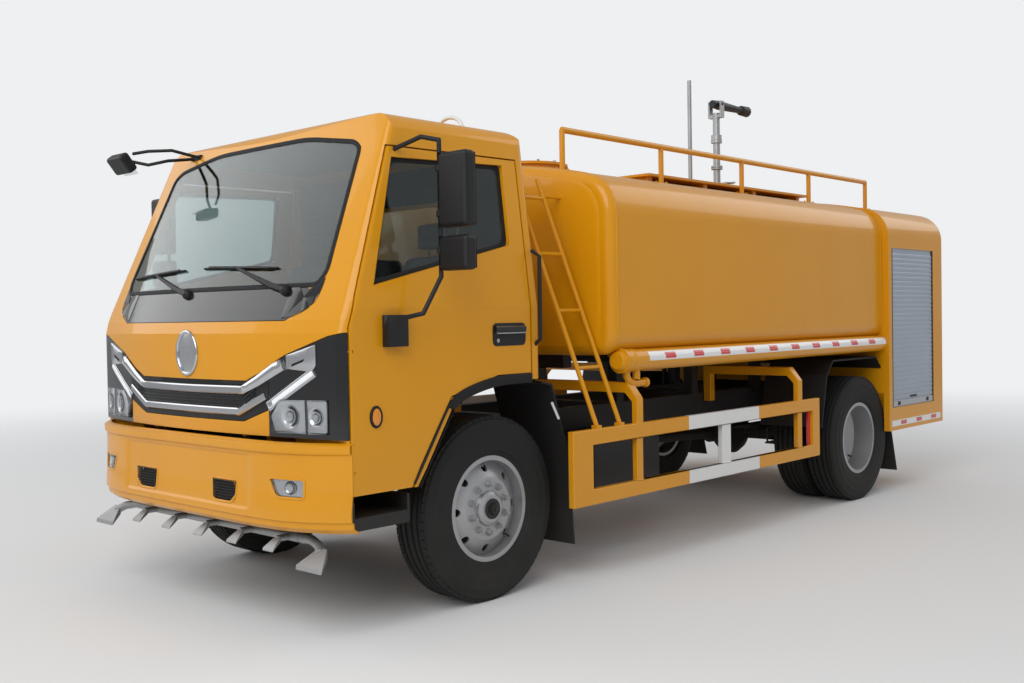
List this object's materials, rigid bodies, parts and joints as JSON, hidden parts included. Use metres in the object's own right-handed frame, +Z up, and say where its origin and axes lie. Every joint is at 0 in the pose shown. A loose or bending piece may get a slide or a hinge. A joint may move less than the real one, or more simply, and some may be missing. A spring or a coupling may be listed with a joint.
{
  "type": "water tanker truck",
  "caption": "Two-axle cab-over water tanker truck with a box-section tank, a rear equipment box, side guards, roof rails, a ladder and a roof-mounted water monitor.",
  "frame": {"origin": "centre of the bounding box on the ground", "axes": "+X to the vehicle's left, +Y to its rear, +Z up"},
  "size_m": [2.77, 6.6, 3.29],
  "materials": {
    "frame_black": "satin",
    "cast_metal": "rough",
    "aluminium_tank": "satin",
    "black_plastic": "matt",
    "amber_paint": "gloss",
    "shutter_grey": "satin",
    "galvanised": "satin",
    "lamp_glass": "gloss",
    "black_rubber": "matt",
    "red_lens": "gloss",
    "gloss_black": "gloss",
    "window_glass": "gloss",
    "dark_trim": "matt",
    "seat_fabric": "woven",
    "chrome_trim": "polished",
    "monitor_black": "satin",
    "wheel_silver": "satin",
    "tyre_rubber": "matt"
  },
  "bodies": {
    "chassis": {"chassis_frame": "frame_black", "tank_bearers": "frame_black", "front_axle_beam": "frame_black", "leaf_springs": "frame_black", "rear_axle_housing": "frame_black", "engine_block": "cast_metal", "propeller_shaft": "frame_black", "fuel_tank": "aluminium_tank", "battery_box": "black_plastic", "water_tank": "amber_paint", "side_tubes": "amber_paint", "equipment_box": "amber_paint", "roller_shutters": "shutter_grey", "side_guards": "amber_paint", "access_ladder": "amber_paint", "roof_walkway": "amber_paint", "hand_rails": "amber_paint", "monitor_pedestal": "galvanised", "front_bumper": "amber_paint", "bumper_grilles": "black_plastic", "fog_lamps": "lamp_glass", "spray_bar": "galvanised", "mudguards": "black_rubber", "cab_steps": "black_plastic", "rear_lamps": "red_lens"},
    "cab": {"cab_shell": "amber_paint", "front_panels": "amber_paint", "screen_band": "gloss_black", "lamp_housings": "gloss_black", "grille": "black_plastic", "cab_windows": "window_glass", "dashboard": "dark_trim", "seats": "seat_fabric", "chrome_bars": "chrome_trim", "headlamp_lenses": "lamp_glass", "steering_wheel": "dark_trim"},
    "door_left": {"door_left": "amber_paint", "door_glass_left": "window_glass", "mirror_left": "black_plastic"},
    "knuckle_left": {"knuckle_left": "frame_black"},
    "front_wheel_left": {"front_rim_left": "wheel_silver", "front_tyre_left": "tyre_rubber"},
    "rear_wheels_left": {"rear_rims_left": "wheel_silver", "rear_tyres_left": "tyre_rubber"},
    "door_right": {"door_right": "amber_paint", "door_glass_right": "window_glass", "mirror_right": "black_plastic"},
    "knuckle_right": {"knuckle_right": "frame_black"},
    "front_wheel_right": {"front_rim_right": "wheel_silver", "front_tyre_right": "tyre_rubber"},
    "rear_wheels_right": {"rear_rims_right": "wheel_silver", "rear_tyres_right": "tyre_rubber"},
    "tie_rod": {"tie_rod": "frame_black"},
    "hatch_lid": {"hatch_lid": "amber_paint"},
    "monitor_head": {"monitor_head": "galvanised"},
    "monitor_barrel": {"monitor_barrel": "monitor_black"}
  },
  "joints": [
    {"name": "cab_tilt", "type": "hinge", "parent": "chassis", "child": "cab", "pos_m": [0, -3.15, 0.93], "axis": [1, 0, 0], "range_deg": [0, 40]},
    {"name": "door_left_hinge", "type": "hinge", "parent": "cab", "child": "door_left", "pos_m": [1.077, -3.085, 1.3], "axis": [0, 0, -1], "range_deg": [0, 70]},
    {"name": "steer_left", "type": "hinge", "parent": "chassis", "child": "knuckle_left", "pos_m": [0.777, -2.15, 0.472], "axis": [0, 0, 1], "range_deg": [-35, 35]},
    {"name": "front_wheel_left_spin", "type": "hinge", "parent": "knuckle_left", "child": "front_wheel_left", "pos_m": [0.917, -2.15, 0.472], "axis": [1, 0, 0], "continuous": true},
    {"name": "rear_wheels_left_spin", "type": "hinge", "parent": "chassis", "child": "rear_wheels_left", "pos_m": [0.9, 1.8, 0.472], "axis": [1, 0, 0], "continuous": true},
    {"name": "door_right_hinge", "type": "hinge", "parent": "cab", "child": "door_right", "pos_m": [-1.077, -3.085, 1.3], "axis": [0, 0, 1], "range_deg": [0, 70]},
    {"name": "steer_right", "type": "hinge", "parent": "chassis", "child": "knuckle_right", "pos_m": [-0.777, -2.15, 0.472], "axis": [0, 0, 1], "range_deg": [-35, 35]},
    {"name": "front_wheel_right_spin", "type": "hinge", "parent": "knuckle_right", "child": "front_wheel_right", "pos_m": [-0.917, -2.15, 0.472], "axis": [1, 0, 0], "continuous": true},
    {"name": "rear_wheels_right_spin", "type": "hinge", "parent": "chassis", "child": "rear_wheels_right", "pos_m": [-0.9, 1.8, 0.472], "axis": [1, 0, 0], "continuous": true},
    {"name": "tie_rod_pivot", "type": "hinge", "parent": "knuckle_left", "child": "tie_rod", "pos_m": [0.777, -1.98, 0.38], "axis": [0, 0, 1], "range_deg": [-35, 35]},
    {"name": "hatch_hinge", "type": "hinge", "parent": "chassis", "child": "hatch_lid", "pos_m": [0, -0.395, 2.44], "axis": [-1, 0, 0], "range_deg": [0, 110]},
    {"name": "monitor_turn", "type": "hinge", "parent": "chassis", "child": "monitor_head", "pos_m": [0, 1.64, 2.9], "axis": [0, 0, 1], "range_deg": [-160, 160]},
    {"name": "monitor_raise", "type": "hinge", "parent": "monitor_head", "child": "monitor_barrel", "pos_m": [0, 1.64, 3.15], "axis": [1, 0, 0], "range_deg": [-15, 60]}
  ],
  "couplings": [
    {"joint": "steer_right", "follows": "steer_left", "ratio": 1},
    {"joint": "tie_rod_pivot", "follows": "steer_left", "ratio": -1}
  ]
}
